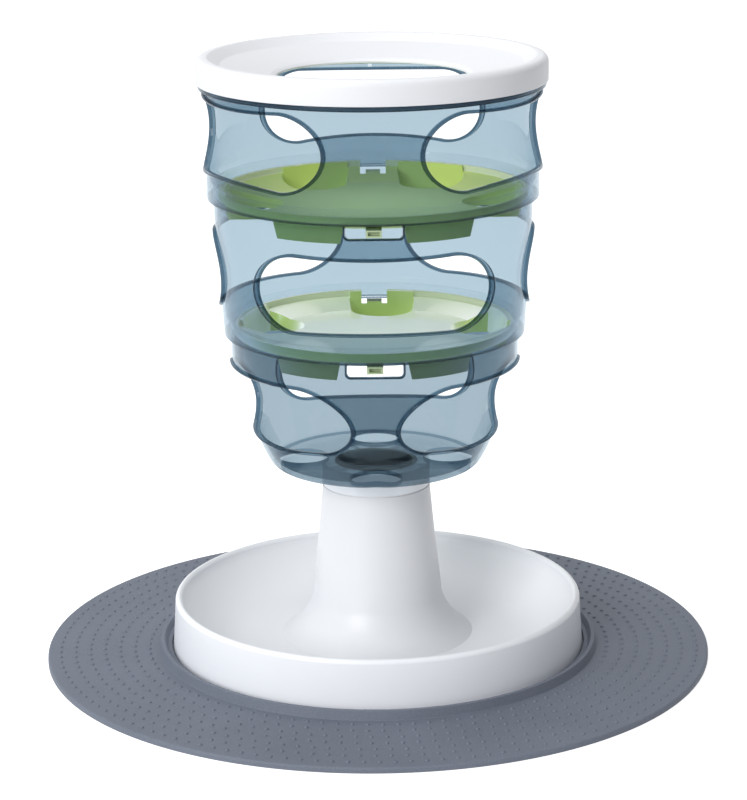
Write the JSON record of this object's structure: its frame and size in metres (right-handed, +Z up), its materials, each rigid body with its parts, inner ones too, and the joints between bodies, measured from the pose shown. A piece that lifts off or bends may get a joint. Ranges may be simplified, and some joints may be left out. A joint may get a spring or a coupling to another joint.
{
  "type": "cat food maze",
  "caption": "Tower feeder on a round mat: clear stacked shells with paw openings and turning food discs, on the hollow column of a round dish, under a ring lid.",
  "frame": {"origin": "centre of the mat's underside, on the floor", "axes": "+Z up along the column, -Y to the front, where a middle paw opening faces"},
  "size_m": [0.355, 0.355, 0.3205],
  "materials": {
    "mat_rubber": "matt, with raised dots",
    "white_plastic": "glossy moulded",
    "clear_plastic": "clear blue-grey tint",
    "green_plastic": "glossy moulded"
  },
  "bodies": {
    "mat": {"mat": "mat_rubber"},
    "dish": {"dish": "white_plastic"},
    "lower_shell": {"lower_shell": "clear_plastic"},
    "lower_disc": {"lower_disc": "green_plastic"},
    "middle_shell": {"middle_shell": "clear_plastic"},
    "upper_disc": {"upper_disc": "green_plastic"},
    "upper_shell": {"upper_shell": "clear_plastic"},
    "lid": {"lid": "white_plastic"}
  },
  "joints": [
    {"name": "dish_lift", "type": "slide", "parent": "mat", "child": "dish", "axis": [0, 0, 1], "range_m": [0, 0.06]},
    {"name": "lower_shell_lift", "type": "slide", "parent": "dish", "child": "lower_shell", "axis": [0, 0, 1], "range_m": [0, 0.06]},
    {"name": "lower_disc_turn", "type": "hinge", "parent": "lower_shell", "child": "lower_disc", "pos_m": [0, 0, 0.176], "axis": [0, 0, 1], "range_deg": [-7.5, 7.5]},
    {"name": "middle_shell_lift", "type": "slide", "parent": "lower_shell", "child": "middle_shell", "axis": [0, 0, 1], "range_m": [0, 0.06]},
    {"name": "upper_disc_turn", "type": "hinge", "parent": "middle_shell", "child": "upper_disc", "pos_m": [0, 0, 0.248], "axis": [0, 0, 1], "range_deg": [-7, 7]},
    {"name": "upper_shell_lift", "type": "slide", "parent": "middle_shell", "child": "upper_shell", "axis": [0, 0, 1], "range_m": [0, 0.06]},
    {"name": "lid_lift", "type": "slide", "parent": "upper_shell", "child": "lid", "axis": [0, 0, 1], "range_m": [0, 0.05]}
  ]
}
